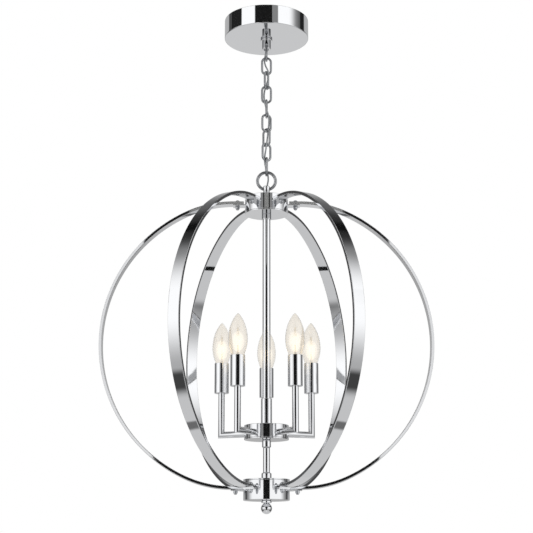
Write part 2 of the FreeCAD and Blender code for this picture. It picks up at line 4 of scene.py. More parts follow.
import bmesh
import bpy
import numpy as np
from bpy.props import FloatProperty, IntProperty, PointerProperty, StringProperty
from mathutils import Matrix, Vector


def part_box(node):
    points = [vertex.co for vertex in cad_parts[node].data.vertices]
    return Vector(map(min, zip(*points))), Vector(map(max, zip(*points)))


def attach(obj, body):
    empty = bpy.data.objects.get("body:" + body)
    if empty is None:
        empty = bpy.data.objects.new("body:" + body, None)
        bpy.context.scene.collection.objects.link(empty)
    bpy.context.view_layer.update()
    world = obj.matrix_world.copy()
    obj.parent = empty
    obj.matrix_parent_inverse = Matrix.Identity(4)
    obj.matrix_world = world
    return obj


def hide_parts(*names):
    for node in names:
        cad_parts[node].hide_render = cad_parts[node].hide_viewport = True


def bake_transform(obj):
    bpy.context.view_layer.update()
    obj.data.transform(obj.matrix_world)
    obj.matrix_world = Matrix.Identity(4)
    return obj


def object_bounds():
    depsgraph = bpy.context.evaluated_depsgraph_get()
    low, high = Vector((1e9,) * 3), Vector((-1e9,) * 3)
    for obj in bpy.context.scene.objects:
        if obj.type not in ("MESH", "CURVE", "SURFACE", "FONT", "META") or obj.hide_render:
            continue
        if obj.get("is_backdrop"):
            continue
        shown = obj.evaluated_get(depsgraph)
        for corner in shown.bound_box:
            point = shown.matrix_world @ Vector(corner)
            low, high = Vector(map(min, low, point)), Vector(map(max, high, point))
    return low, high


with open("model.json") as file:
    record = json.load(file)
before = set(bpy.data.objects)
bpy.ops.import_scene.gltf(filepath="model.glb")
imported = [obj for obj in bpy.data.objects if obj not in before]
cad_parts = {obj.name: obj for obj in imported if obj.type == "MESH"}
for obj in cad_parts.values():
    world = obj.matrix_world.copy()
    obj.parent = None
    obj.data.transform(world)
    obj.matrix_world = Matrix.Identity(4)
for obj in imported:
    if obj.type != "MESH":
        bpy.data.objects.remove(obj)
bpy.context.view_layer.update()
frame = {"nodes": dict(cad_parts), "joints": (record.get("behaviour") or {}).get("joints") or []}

bl_info = {
    "name": "Orb chandelier",
    "version": (1, 0, 0),
    "blender": (4, 5, 0),
    "location": "View3D > Sidebar > Orb chandelier",
    "description": "Dresses the packed orb chandelier: polished metal, lit candle bulbs, cord and studio",
    "category": "Object",
}

MM = 0.001
TAU = 2 * math.pi
BAND_NAMES = ["band_%d" % k for k in range(1, 7)]
BAND_AZIMUTHS = [-90 + 60 * k for k in range(6)]
LINK_NAMES = ["chain_link_%d" % k for k in range(1, 10)]
LINK_BODIES = [name + "_body" for name in LINK_NAMES]
CANDLES = range(1, 6)
ORB, CANOPY, RING = "orb_body", "canopy_body", "ring_body"


# ---- the settings a user would change ----
class OrbSizes(bpy.types.PropertyGroup):
    """Sizes of what the frame doesn't hold by itself, in metres."""
    edge_round: FloatProperty(
        name="Edge rounding", description="Radius of a polished metal edge", default=0.8 * MM, min=0.0,
        unit="LENGTH")
    band_width: FloatProperty(
        name="Band width", description="Width of the strap bands", default=21.4 * MM, unit="LENGTH")
    band_thick: FloatProperty(
        name="Band thickness", description="Thickness of the strap bands", default=5.5 * MM, unit="LENGTH")
    lug_thick: FloatProperty(
        name="Lug thickness", description="Thickness of the hubs' lugs", default=2 * MM, unit="LENGTH")
    glass_wall: FloatProperty(
        name="Glass wall", description="Wall of the candle bulbs", default=0.8 * MM, unit="LENGTH")
    thread_pitch: FloatProperty(
        name="Cap thread pitch", description="Pitch of the caps' thread", default=2.8 * MM, unit="LENGTH")
    cord_diameter: FloatProperty(
        name="Cord diameter", description="Diameter of the supply cord", default=3.0 * MM, unit="LENGTH")
    round_steps: IntProperty(
        name="Steps round", description="Facets round a turned piece", default=128, min=24)


class OrbFinish(bpy.types.PropertyGroup):
    """Colours and light levels."""
    chrome: StringProperty(name="Chrome", description="sRGB hex of the plated steel", default="E9EAEC")
    chain: StringProperty(name="Chain", description="sRGB hex of the plated chain", default="C8CACD")
    brass: StringProperty(name="Cap", description="sRGB hex of the bulb caps", default="C9B277")
    zinc: StringProperty(name="Zinc", description="sRGB hex of the zinc plate", default="B4B8BC")
    plastic: StringProperty(name="Lampholder", description="sRGB hex of the lampholders", default="E9E5DA")
    cord: StringProperty(name="Cord", description="sRGB hex of the cord's strands", default="B9BCBE")
    glow: StringProperty(name="Glow", description="sRGB hex of the lit filaments", default="FFE2A8")
    glow_strength: FloatProperty(name="Glow strength", description="Emission of the filaments", default=2.6)


def sizes():
    """The size settings."""
    return bpy.context.scene.orb_sizes


def finish():
    """The colour and light settings."""
    return bpy.context.scene.orb_finish


# ---- colours and nodes ----
def linear(hex_colour):
    """sRGB hex to linear RGBA: c/12.92 below 0.04045, else ((c + 0.055)/1.055) to the power 2.4."""
    channels = [int(hex_colour[i:i + 2], 16) / 255 for i in (0, 2, 4)]
    return [c / 12.92 if c <= 0.04045 else ((c + 0.055) / 1.055) ** 2.4 for c in channels] + [1.0]


def add_node(tree, kind, settings=None, links=None, **values):
    """Add a node, set its attributes and its inputs' values, and link inputs from other sockets."""
    node = tree.nodes.new("ShaderNode" + kind)
    for name, value in (settings or {}).items():
        setattr(node, name, value)
    for name, value in values.items():
        key = int(name[1:]) if name[0] == "i" and name[1:].isdigit() else name.replace("_", " ")
        node.inputs[key].default_value = value
    for name, socket in (links or {}).items():
        tree.links.new(socket, node.inputs[name])
    return node


def object_noise(tree, scale_mm, detail):
    """Noise from 0 to 1 on object coordinates, whose features are scale_mm across."""
    place = add_node(tree, "TexCoord")
    return add_node(tree, "TexNoise", links={"Vector": place.outputs["Object"]},
                    Scale=1 / (scale_mm * MM), Detail=detail).outputs["Fac"]


def ranged(tree, value, low, high):
    """A 0-1 value carried to the range from low to high."""
    return add_node(tree, "MapRange", links={"Value": value}, To_Min=low, To_Max=high).outputs["Result"]


def shades(tree, value, dark, light):
    """A 0-1 value carried to a colour between two sRGB hex colours."""
    ramp = add_node(tree, "ValToRGB", links={"Fac": value})
    for stop, colour in zip(ramp.color_ramp.elements, (dark, light)):
        stop.color = linear(colour)
    return ramp.outputs["Color"]


def relief(tree, height, strength, depth_mm):
    """The normal of a surface that a 0-1 height raises by up to depth_mm."""
    return add_node(tree, "Bump", links={"Height": height}, Strength=strength,
                    Distance=depth_mm * MM).outputs["Normal"]


def principled(tree, links, **values):
    """A principled shader with these links and values."""
    return add_node(tree, "BsdfPrincipled", links=links, **values).outputs["BSDF"]


def mottled_metal(tree, colour, grain_mm, detail, smooth, rough):
    """A metal whose roughness wanders between two values."""
    grain = object_noise(tree, grain_mm, detail)
    return principled(tree, {"Roughness": ranged(tree, grain, smooth, rough)}, Metallic=1.0,
                      Base_Color=linear(colour))


def matt_cover(tree, grain_mm, detail, dark, light, roughness, ior):
    """A matt cover whose shade wanders between two greys."""
    grain = object_noise(tree, grain_mm, detail)
    return principled(tree, {"Base Color": shades(tree, grain, dark, light)}, Roughness=roughness, IOR=ior)


# ---- finishes: each draws its nodes and gives its shader ----
def chrome_plate(tree):
    """Buffed nickel-chrome plate: a mirror, with faint buffing haze and a slight waviness of the plate."""
    haze, ripple = object_noise(tree, 9.0, 4.0), object_noise(tree, 28.0, 1.0)
    return principled(tree, {"Roughness": ranged(tree, haze, 0.015, 0.06),
                             "Normal": relief(tree, ripple, 0.03, 0.6)},
                      Metallic=1.0, Base_Color=linear(finish().chrome))


def barrel_chrome(tree):
    """Barrel-plated chain, bolts and nuts: the same chrome, duller, and darker where the plate is thin."""
    thin = object_noise(tree, 5.0, 4.0)
    return principled(tree, {"Base Color": shades(tree, thin, "9FA1A4", finish().chain),
                             "Roughness": ranged(tree, thin, 0.06, 0.16)}, Metallic=1.0)


def zinc_plate(tree):
    """Zinc-plated pressed steel: pale, slightly mottled and half matt."""
    return mottled_metal(tree, finish().zinc, 2.5, 5.0, 0.28, 0.5)


def cap_brass(tree):
    """Rolled brass bulb cap: bright, with light tarnish."""
    return mottled_metal(tree, finish().brass, 1.5, 3.0, 0.15, 0.32)


def moulded_holder(tree):
    """Heat-proof moulded polyester: off-white with a fine satin grain."""
    grain = object_noise(tree, 0.6, 2.0)
    return principled(tree, {"Normal": relief(tree, grain, 0.15, 0.05)}, Roughness=0.45, IOR=1.5,
                      Base_Color=linear(finish().plastic))


def lead_sleeving(tree):
    """Extruded white wire insulation: smooth and softly glossy."""
    drawn = object_noise(tree, 1.2, 2.0)
    return principled(tree, {"Roughness": ranged(tree, drawn, 0.3, 0.42)}, IOR=1.5,
                      Base_Color=linear("E8E8E4"))


def clear_flex(tree):
    """Clear vinyl flex over tinned strands, which show as fine slanted bands under a glossy skin."""
    along = add_node(tree, "UVMap", {"uv_map": "route"}).outputs["UV"]
    strands = add_node(tree, "TexWave", {"wave_type": "BANDS", "bands_direction": "DIAGONAL"},
                       {"Vector": along}, Scale=3.0, Distortion=0.4).outputs["Fac"]
    return principled(tree, {"Base Color": shades(tree, strands, "8E9295", finish().cord)}, Metallic=0.55,
                      Roughness=0.25, IOR=1.53, Coat_Weight=0.8, Coat_Roughness=0.08)


def bulb_glass(tree):
    """Blown soda-lime glass: clear, smooth, with a very slight drawn waviness."""
    drawn = object_noise(tree, 14.0, 1.0)
    return principled(tree, {"Normal": relief(tree, drawn, 0.04, 0.3)}, Roughness=0.01, IOR=1.5,
                      Transmission_Weight=1.0, Base_Color=linear("F7F4EF"))


def lit_filament(tree):
    """Phosphor-coated filament at full output: warm white light, a little uneven from dot to dot."""
    dots, strength = object_noise(tree, 1.4, 1.0), finish().glow_strength
    return add_node(tree, "Emission", links={"Strength": ranged(tree, dots, strength * 0.8, strength * 1.2)},
                    Color=linear(finish().glow)).outputs["Emission"]


def glow_haze(tree):
    """The filaments' bloom inside the envelope: a clear shell that adds warm light, most at its middle."""
    facing = add_node(tree, "LayerWeight", Blend=0.5).outputs["Facing"]
    inward = add_node(tree, "Math", {"operation": "SUBTRACT"}, {1: facing}, i0=1.0).outputs[0]
    core = add_node(tree, "Math", {"operation": "POWER"}, {0: inward}, i1=1.3).outputs[0]
    light = add_node(tree, "Emission", links={"Strength": ranged(tree, core, 0.0, 0.15)},
                     Color=linear("FFF4DC")).outputs[0]
    clear = add_node(tree, "BsdfTransparent").outputs[0]
    return add_node(tree, "AddShader", links={0: clear, 1: light}).outputs[0]


def black_felt(tree):
    """Board covered with black felt, which swallows the light that falls on it."""
    return matt_cover(tree, 4.0, 2.0, "101010", "1A1A1A", roughness=1.0, ior=1.3)


def grey_board(tree):
    """Middle-grey matt board."""
    return matt_cover(tree, 3.0, 2.0, "8C8C8A", "949492", roughness=0.9, ior=1.45)


def studio_paper(tree):
    """Seamless white paper under the object, with the faint fibre mottle of such paper."""
    return matt_cover(tree, 3.0, 3.0, "F4F4F3", "FAFAF9", roughness=0.9, ior=1.45)


FINISHES = {made.__name__: made for made in (
    chrome_plate, barrel_chrome, zinc_plate, cap_brass, moulded_holder, lead_sleeving, clear_flex, bulb_glass,
    lit_filament, glow_haze, studio_paper, black_felt, grey_board)}
MATERIALS = {}


def material(name):
    """The named finish as a material, made once."""
    if name not in MATERIALS:
        made = bpy.data.materials.new(name)
        made.use_nodes = True
        tree = made.node_tree
        tree.nodes.clear()
        out = add_node(tree, "OutputMaterial")
        tree.links.new(FINISHES[name](tree), out.inputs["Surface"])
        MATERIALS[name] = made
    return MATERIALS[name]


# ---- meshes ----
# A grid is (points, close_rows, close_columns, end_caps), its points an array of rows x columns x 3.
def grid_faces(rows, columns, close_rows, close_columns):
    """Quads between neighbouring points of a rows x columns grid, as an array of indices."""
    i = np.arange(rows if close_rows else rows - 1)[:, None]
    j = np.arange(columns if close_columns else columns - 1)[None, :]
    below, beside = (i + 1) % rows, (j + 1) % columns
    quads = [i * columns + j, below * columns + j, below * columns + beside, i * columns + beside]
    return np.stack([q + 0 * i + 0 * j for q in quads], axis=-1).reshape(-1, 4)


def enclosed_volume(points, faces):
    """Signed volume from the sum of a . (b x c) / 6 over the triangles of each quad."""
    a, b, c, d = (points[faces[:, k]] for k in range(4))
    halves = np.einsum("ij,ij->i", a, np.cross(b, c)) + np.einsum("ij,ij->i", a, np.cross(c, d))
    return halves.sum() / 6


def end_caps(points, rows, columns):
    """A fan over the first row and one over the last: each joins a row to its own mean point."""
    fans = []
    for row in (0, rows - 1):
        ring = row * columns + np.arange(columns)
        points = np.vstack([points, points[ring].mean(axis=0)])
        hub = np.full(columns, len(points) - 1)
        fan = np.stack([ring, np.roll(ring, -1), hub, hub], axis=-1)
        fans.append(fan if row else fan[:, [1, 0, 2, 3]])
    return points, fans


def weld(mesh, sharp_degrees, drop_slivers):
    """Merge points that coincide, and shade smoothly across edges flatter than the angle."""
    work = bmesh.new()
    work.from_mesh(mesh)
    bmesh.ops.remove_doubles(work, verts=work.verts, dist=1e-6)
    if drop_slivers:
        bmesh.ops.dissolve_degenerate(work, edges=work.edges, dist=1e-7)
    work.to_mesh(mesh)
    work.free()
    mesh.shade_smooth()
    mesh.set_sharp_from_angle(angle=math.radians(sharp_degrees))


def new_object(name, data):
    """An object with this data, linked to the scene."""
    made = bpy.data.objects.new(name, data)
    bpy.context.scene.collection.objects.link(made)
    return made


def placed(name, mesh, finish_name, body, replaced):
    """The mesh as an object of the scene, with its finish, the body it rides and its nodes."""
    made = new_object(name, mesh)
    mesh.materials.append(material(finish_name))
    if body:
        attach(made, body)
    if replaced:
        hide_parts(*replaced)
    return made


def piece(name, grids, finish_name, body, replaced=(), sharp_degrees=35):
    """One object from grids, each turned so that its faces look outwards."""
    vertices, faces, start = [], [], 0
    for points, close_rows, close_columns, caps in grids:
        rows, columns = points.shape[:2]
        flat = points.reshape(-1, 3)
        quads = grid_faces(rows, columns, close_rows, close_columns)
        if caps:
            flat, fans = end_caps(flat, rows, columns)
            quads = np.vstack([quads] + fans)
        if enclosed_volume(flat - flat.mean(axis=0), quads) < 0:
            quads = quads[:, ::-1]
        vertices.append(flat)
        faces.append(quads + start)
        start += len(flat)
    mesh = bpy.data.meshes.new(name)
    loops = [tuple(dict.fromkeys(face)) for face in np.vstack(faces).tolist()]
    mesh.from_pydata(np.vstack(vertices).tolist(), [], [loop for loop in loops if len(loop) > 2])
    weld(mesh, sharp_degrees, drop_slivers=True)
    return placed(name, mesh, finish_name, body, replaced)


def chrome_piece(name, grids, node, body=ORB, finish_name="chrome_plate", sharp_degrees=35):
    """A piece of plated metal in the place of its node."""
    return piece(name, grids, finish_name, body, [node], sharp_degrees)


def dressed_copy(node, finish_name, body):
    """The node's own solid, welded and smooth shaded: for small machined pieces with cross holes."""
    mesh = frame["nodes"][node].data.copy()
    mesh.name = node + "_part"
    weld(mesh, 32, drop_slivers=False)
    mesh.materials.clear()
    return placed(node + "_part", mesh, finish_name, body, [node])


# ---- sections, paths and surfaces ----
def rounded(outline, radius, steps=6):
    """A closed outline with each corner replaced by an arc tangent to its two sides.

    The arc's radius is the given one, or less where a side is too short for it. It is a rational
    quadratic curve whose middle weight is the cosine of half the turn. One more point stands close to
    either end of the arc, on the side, so that smooth shading stays flat between corners.
    """
    corners = np.asarray(outline, float)
    before, after = np.roll(corners, 1, axis=0), np.roll(corners, -1, axis=0)
    into, out = corners - before, after - corners
    length_in, length_out = (np.linalg.norm(v, axis=1, keepdims=True) for v in (into, out))
    into, out = into / length_in, out / length_out
    half = np.arccos(np.clip((into * out).sum(axis=1, keepdims=True), -1, 1)) / 2
    shorter = np.minimum(length_in, length_out)
    setback = np.minimum(radius * np.tan(half), 0.45 * shorter)
    beside = np.minimum(0.3 * radius, 0.04 * shorter)[:, None]
    share = np.linspace(0, 1, steps)[None, :, None]
    first, last = (corners - into * setback)[:, None], (corners + out * setback)[:, None]
    start, end = (1 - share) ** 2, share ** 2
    middle = 2 * np.cos(half)[:, None] * share * (1 - share)
    curve = (start * first + middle * corners[:, None] + end * last) / (start + middle + end)
    first, last = first - into[:, None] * beside, last + out[:, None] * beside
    return np.concatenate([first, curve, last], axis=1).reshape(-1, 2)


def rectangle(across, along):
    """Corners of a rectangle about its middle."""
    a, b = across / 2, along / 2
    return [(-a, -b), (a, -b), (a, b), (-a, b)]


def circle(diameter, steps):
    """Points of a circle: (r cos a, r sin a)."""
    a = np.linspace(0, TAU, steps, endpoint=False)
    return np.stack([np.cos(a), np.sin(a)], axis=1) * diameter / 2


def arc(centre, radius, start, end, steps):
    """Points of an arc in a plane, from the start angle to the end angle in radians."""
    a = np.linspace(start, end, steps)
    return np.stack([centre[0] + radius * np.cos(a), centre[1] + radius * np.sin(a)], axis=1)


def cup_outline(hole, radius, wall, closed, opened, floor):
    """Half section of a turned cup, from the levels of its closed face, its mouth and its inner floor."""
    inner = radius - wall
    return [(hole, closed), (radius, closed), (radius, opened), (inner, opened), (inner, floor),
            (hole, floor)]


def in_plane(points, azimuth):
    """(distance, z) points in the upright plane through the axis at an azimuth (0 is front, 90 is +X)."""
    a = math.radians(azimuth)
    r, z = np.asarray(points, float).T
    return np.stack([r * math.sin(a), -r * math.cos(a), z], axis=1)


def about(centre, r, a, z):
    """Points about the vertical through centre: x = r cos a, y = r sin a."""
    return np.stack([centre[0] + r * np.cos(a), centre[1] + r * np.sin(a), z + 0 * a], axis=-1)


def turned(profile, centre=(0, 0), steps=None, closed=True):
    """A profile of (radius, z) points turned about the vertical through centre."""
    angle = np.linspace(0, TAU, steps or sizes().round_steps, endpoint=False)
    r, z = np.asarray(profile, float).T[:, :, None]
    return about(centre, r, angle, z), closed, True, False


def carried(section, path, normal, closed=False):
    """A flat section carried along a planar path, capped where the path is open.

    Its first coordinate lies in the path's plane, square to the path and widened at a corner so
    that straight stretches keep their width; its second runs along the plane's normal.
    """
    normal = np.asarray(normal, float)
    step = np.roll(path, -1, axis=0) - path
    step = step / np.linalg.norm(step, axis=1, keepdims=True)
    ahead, behind = step.copy(), np.roll(step, 1, axis=0)
    if not closed:
        ahead[-1], behind[0] = behind[-1], ahead[0]
    along = ahead + behind
    along = along / np.linalg.norm(along, axis=1, keepdims=True)
    side = np.cross(normal, along) / (along * ahead).sum(axis=1, keepdims=True)
    points = path[:, None] + section[None, :, :1] * side[:, None] + section[None, :, 1:] * normal
    return points, closed, True, not closed


def upright(section, route, azimuth, closed=False):
    """A section carried along a route in the plane at an azimuth, whose normal is (cos a, sin a, 0)."""
    a = math.radians(azimuth)
    return carried(section, in_plane(route, azimuth), (math.cos(a), math.sin(a), 0.0), closed)


def middle_of(node):
    """Middle of the node's box."""
    low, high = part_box(node)
    return (low + high) / 2


def width_of(node):
    """Width of the node's box along X."""
    low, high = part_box(node)
    return high.x - low.x


def turned_ring(node, name, bore, edge, body=ORB, steps=None):
    """A tube or disc with rounded edges, as wide and as high as its node."""
    low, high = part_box(node)
    radius = width_of(node) / 2
    outline = [(bore, low.z), (radius, low.z), (radius, high.z), (bore, high.z)]
    chrome_piece(name, [turned(rounded(outline, edge), steps=steps)], node, body)


# ---- operators ----
class ORB_OT_canopy(bpy.types.Operator):
    """Drum canopy and the collar under it"""
    bl_idname = "orb.canopy"
    bl_label = "Canopy"

    def execute(self, context):
        wall, hole, lip, collar_edge = 1.6 * MM, 5.1 * MM, 1.5 * MM, 1.4 * MM
        low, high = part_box("canopy")
        outline = cup_outline(hole, (high.y - low.y) / 2, wall, low.z, high.z, low.z + wall)
        chrome_piece("canopy_drum", [turned(rounded(outline, lip, 8), steps=192)], "canopy", CANOPY)
        turned_ring("loop_collar", "canopy_collar", hole, collar_edge, CANOPY)
        return {"FINISHED"}


class ORB_OT_chain(bpy.types.Operator):
    """Welded chain links and the hanging ring"""
    bl_idname = "orb.chain"
    bl_label = "Chain and ring"
    link_wire, link_width = 4.2 * MM, 21 * MM

    def execute(self, context):
        axes = {joint["child"]: joint["axis"] for joint in frame["joints"]}
        for name, body, following in zip(LINK_NAMES, LINK_BODIES, LINK_BODIES[1:] + [RING]):
            # A link's plane holds the axis that the next piece swings about.
            azimuth = math.degrees(math.atan2(axes[following][1], axes[following][0])) + 90
            self.bent_wire(name, body, self.link_route(name), self.link_wire, 28, azimuth)
        low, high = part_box("hang_ring")
        wire, steps = high.y - low.y, 128
        radius, end = (high.z - low.z - wire) / 2, TAU * (steps - 1) / steps
        loop = arc((0, middle_of("hang_ring").z), radius, 0, end, steps)
        self.bent_wire("hang_ring", RING, loop, wire, 36, 90)
        return {"FINISHED"}

    def link_route(self, name):
        """A link's middle line: a half circle above, one below, and straight sides between them."""
        low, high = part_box(name)
        bend = (self.link_width - self.link_wire) / 2
        top, bottom = high.z - self.link_wire / 2 - bend, low.z + self.link_wire / 2 + bend
        side = np.linspace(bottom, top, 6, endpoint=False)[1:]
        return np.vstack([arc((0, top), bend, 0, math.pi, 40),
                          np.stack([-bend + 0 * side, side[::-1]], axis=1),
                          arc((0, bottom), bend, math.pi, TAU, 40),
                          np.stack([bend + 0 * side, side], axis=1)])

    def bent_wire(self, node, body, route, wire, steps, azimuth):
        """Round wire carried along a closed route in the upright plane at the azimuth."""
        tube = upright(circle(wire, steps), route, azimuth, closed=True)
        chrome_piece(node + "_wire", [tube], node, body, "barrel_chrome", sharp_degrees=80)


class ORB_OT_hubs(bpy.types.Operator):
    """Top hub, socket hub and bottom hub with their plates and lugs"""
    bl_idname = "orb.hubs"
    bl_label = "Hubs"

    def execute(self, context):
        edge, wall, rod_hole, steps = sizes().edge_round, 3 * MM, 4.9 * MM, 160
        band_low, band_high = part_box("band_1")
        hubs = (("top_hub", "top_hub_plate", "down", band_high.z - sizes().band_thick),
                ("socket_hub", "socket_hub_cover", "down", None),
                ("bottom_hub", "bottom_hub_plate", "up", band_low.z))
        for hub, cover, mouth, lug_top in hubs:
            low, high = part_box(hub)
            closed, opened, inwards = (high.z, low.z, -1) if mouth == "down" else (low.z, high.z, 1)
            floor = closed + inwards * wall
            outline = cup_outline(rod_hole, width_of(cover) / 2, wall, closed, opened, floor)
            grids = [turned(rounded(outline, edge), steps=steps)]
            if lug_top is not None:
                grids += self.lugs(hub, lug_top)
            chrome_piece(hub + "_shell", grids, hub)
            turned_ring(cover, cover + "_disc", rod_hole, edge / 2, steps=steps)
        return {"FINISHED"}

    def lugs(self, hub, top):
        """The six flat lugs: bars with rounded corners, carried outwards from inside the hub's wall."""
        inside, reach, corner, thick = 38 * MM, width_of(hub) / 2, 0.5 * MM, sizes().lug_thick
        section = rounded(rectangle(thick, sizes().band_width), corner, 4)
        route = [(inside, top - thick / 2), (reach, top - thick / 2)]
        return [upright(section, route, azimuth) for azimuth in BAND_AZIMUTHS]


class ORB_OT_rods(bpy.types.Operator):
    """Main rod, its collar, the column, the lower stem and the finial"""
    bl_idname = "orb.rods"
    bl_label = "Rods and finial"

    def execute(self, context):
        for node, bore, edge in (("main_rod", 5.8, 0.3), ("rod_collar", 7.4, 1.4), ("column", 7.4, 0.8)):
            turned_ring(node, node + "_tube", bore * MM, edge * MM)
        self.lower_stem()
        self.finial()
        return {"FINISHED"}

    def lower_stem(self):
        """A shaft between a neck and a bead, with a spigot at either end."""
        low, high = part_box("lower_stem")
        top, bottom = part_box("socket_hub_cover")[0].z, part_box("bottom_hub_plate")[1].z
        neck, shaft, bead, spigot, edge = 8 * MM, 6.1 * MM, 9 * MM, 4.8 * MM, 2.2 * MM
        neck_foot, bead_top, slope = top - 13 * MM, bottom + 11 * MM, 1 * MM
        outline = [(0, high.z), (spigot, high.z), (spigot, top), (neck, top), (neck, neck_foot),
                   (shaft, neck_foot - slope), (shaft, bead_top + slope), (bead, bead_top),
                   (bead, bottom + slope), (bead - 2 * slope, bottom), (spigot, bottom), (spigot, low.z),
                   (0, low.z)]
        chrome_piece("lower_stem_turning", [turned(rounded(outline, edge, 8))], "lower_stem")

    def finial(self):
        """A ball under a cup. Of the cup's rounded section only the wall is kept, whose foot slopes in to
        the ball where the ball crosses the level of the cup's lower face."""
        low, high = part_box("finial")
        cup_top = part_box("bottom_hub")[0].z
        cup_low, spigot, cup, edge = cup_top - 5 * MM, 5 * MM, 9.2 * MM, 1.2 * MM
        ball = width_of("finial") / 2
        centre = low.z + ball
        crossing = math.asin(min(1, (cup_low - centre) / ball))
        globe = arc((0, centre), ball, -math.pi / 2, crossing, 40)
        section = [(spigot, cup_top), (cup, cup_top), (cup, cup_low), (spigot, cup_low)]
        first_of_wall, end_of_wall = 6, 18
        wall = rounded(section, edge)[first_of_wall:end_of_wall]
        outline = np.vstack([[(0, high.z), (spigot, high.z), (spigot, cup_top)], wall, globe[::-1]])
        chrome_piece("finial_ball", [turned(outline)], "finial")


class ORB_OT_bands(bpy.types.Operator):
    """Six strap bands with their dome bolts and hexagon nuts"""
    bl_idname = "orb.bands"
    bl_label = "Orb bands"

    def execute(self, context):
        low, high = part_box("band_1")
        thick, corner = sizes().band_thick, 0.7 * MM
        middle, half = (low.z + high.z) / 2, (high.z - low.z - thick) / 2
        route = self.route(-low.x - thick / 2, half, middle)
        section = rounded(rectangle(thick, sizes().band_width), corner, 5)
        for name, azimuth in zip(BAND_NAMES, BAND_AZIMUTHS):
            chrome_piece(name + "_strap", [upright(section, route, azimuth)], name)
        self.fasteners(middle + half, middle - half)
        return {"FINISHED"}

    def route(self, radius, half, middle):
        """A strap's middle line: flat ends, a shoulder arc at either, and one wide arc between them.

        The wide arc's centre on the middle level follows from its reach, the radius, and from being
        tangent to the shoulders: (spare^2 - flat_end^2 - rise^2) / (2 (spare - flat_end)).
        """
        start, flat_end, support, shoulder = 42.1 * MM, 62 * MM, 56 * MM, 200 * MM
        spare, rise = radius - shoulder, half - shoulder
        centre = (spare ** 2 - flat_end ** 2 - rise ** 2) / (2 * (spare - flat_end))
        reach = math.atan2(rise, flat_end - centre)
        upper = arc((flat_end, middle + rise), shoulder, math.pi / 2, reach, 40)
        belly = arc((centre, middle), radius - centre, reach, -reach, 120)
        lower = arc((flat_end, middle - rise), shoulder, -reach, -math.pi / 2, 40)
        return np.vstack([[(start, middle + half), (support, middle + half)], upper, belly[1:-1], lower,
                          [(support, middle - half), (start, middle - half)]])

    def fasteners(self, top, bottom):
        """A bolt and a nut where each strap lies on a lug, at the levels of the straps' middle lines."""
        beyond_plate, thick, lug = 13.8 * MM, sizes().band_thick, sizes().lug_thick
        bolts, nuts = [], []
        for level, plate in ((top, "top_hub_plate"), (bottom, "bottom_hub_plate")):
            radius = width_of(plate) / 2 + beyond_plate
            for azimuth in BAND_AZIMUTHS:
                at = in_plane([(radius, 0)], azimuth)[0, :2]
                seat, under = level + thick / 2, level - thick / 2 - lug
                bolts.append(self.bolt(at, seat, under))
                nuts.append(self.nut(at, under))
        chrome_piece("band_bolt_heads", bolts, "band_bolts", finish_name="barrel_chrome")
        chrome_piece("band_bolt_nuts", nuts, "band_nuts", finish_name="barrel_chrome", sharp_degrees=25)

    def bolt(self, at, seat, under):
        """A quarter-ellipse crown over a short cylindrical rim, and the shank with its chamfered tip."""
        head, rim, crown_rise, shank, tip = 4.5 * MM, 1.2 * MM, 3.2 * MM, 2.5 * MM, 1.9 * MM
        shank_end, chamfer_top = under - 7 * MM, under - 6.4 * MM
        a = np.linspace(math.pi / 2, 0, 14)
        crown = np.stack([head * np.cos(a), seat + rim + crown_rise * np.sin(a)], axis=1)
        foot = [(head, seat), (shank, seat), (shank, chamfer_top), (tip, shank_end), (0, shank_end)]
        return turned(np.vstack([crown, foot]), at, 32, closed=False)

    def nut(self, at, top):
        """A hexagon prism whose corners a cone trims: flats/2 over the cosine of the angle from a flat."""
        flats, bore, height, steps = 8 * MM, 2.6 * MM, 4.5 * MM, 48
        trim, trimmed, untrimmed = 0.7 * MM, 4.1 * MM, 9 * MM
        angle = np.linspace(0, TAU, steps, endpoint=False)
        nearest = (angle + math.pi / 6) % (math.pi / 3) - math.pi / 6
        low = top - height
        levels = np.array([low, low, low + trim, top - trim, top, top])[:, None]
        limit = np.array([bore, trimmed, untrimmed, untrimmed, trimmed, bore])[:, None]
        r = np.minimum(limit, flats / 2 / np.cos(nearest))
        return about(at, r, angle, levels), True, True, False


class ORB_OT_candles(bpy.types.Operator):
    """Mitred arms, candle sleeves and lampholders"""
    bl_idname = "orb.candles"
    bl_label = "Arms and sleeves"

    def execute(self, context):
        holders = []
        for k in CANDLES:
            at = middle_of("candle_sleeve_%d" % k)
            self.sleeve(k, (at.x, at.y))
            self.arm(k, math.degrees(math.atan2(at.x, -at.y)), math.hypot(at.x, at.y))
            holders.append(self.holder((at.x, at.y)))
        piece("lampholder_bodies", holders, "moulded_holder", ORB, ["lampholders"])
        return {"FINISHED"}

    def sleeve(self, k, at):
        """A straight tube with a pierced floor."""
        radius, wall, floor, hole, edge = 13.2 * MM, 1 * MM, 1.5 * MM, 5.9 * MM, 0.45 * MM
        node = "candle_sleeve_%d" % k
        low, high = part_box(node)
        outline = cup_outline(hole, radius, wall, low.z, high.z, low.z + floor)
        chrome_piece("sleeve_%d" % k, [turned(rounded(outline, edge), at, 96)], node)

    def arm(self, k, azimuth, reach):
        """A round tube that runs out from inside the hub and turns up under the sleeve."""
        tube, inside_hub = 11.6 * MM, 5 * MM
        low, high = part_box("arm_%d" % k)
        run = low.z + tube / 2
        start = width_of("socket_hub_cover") / 2 - inside_hub
        bent = upright(circle(tube, 48), [(start, run), (reach, run), (reach, high.z)], azimuth)
        chrome_piece("arm_%d_tube" % k, [bent], "arm_%d" % k)

    def holder(self, at):
        """A moulded cup that takes the bulb's cap."""
        radius, wall, floor, edge = 11.5 * MM, 4.2 * MM, 6 * MM, 0.6 * MM
        low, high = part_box("lampholders")
        outline = cup_outline(0, radius, wall, low.z, high.z, low.z + floor)
        return turned(rounded(outline, edge), at, 64)


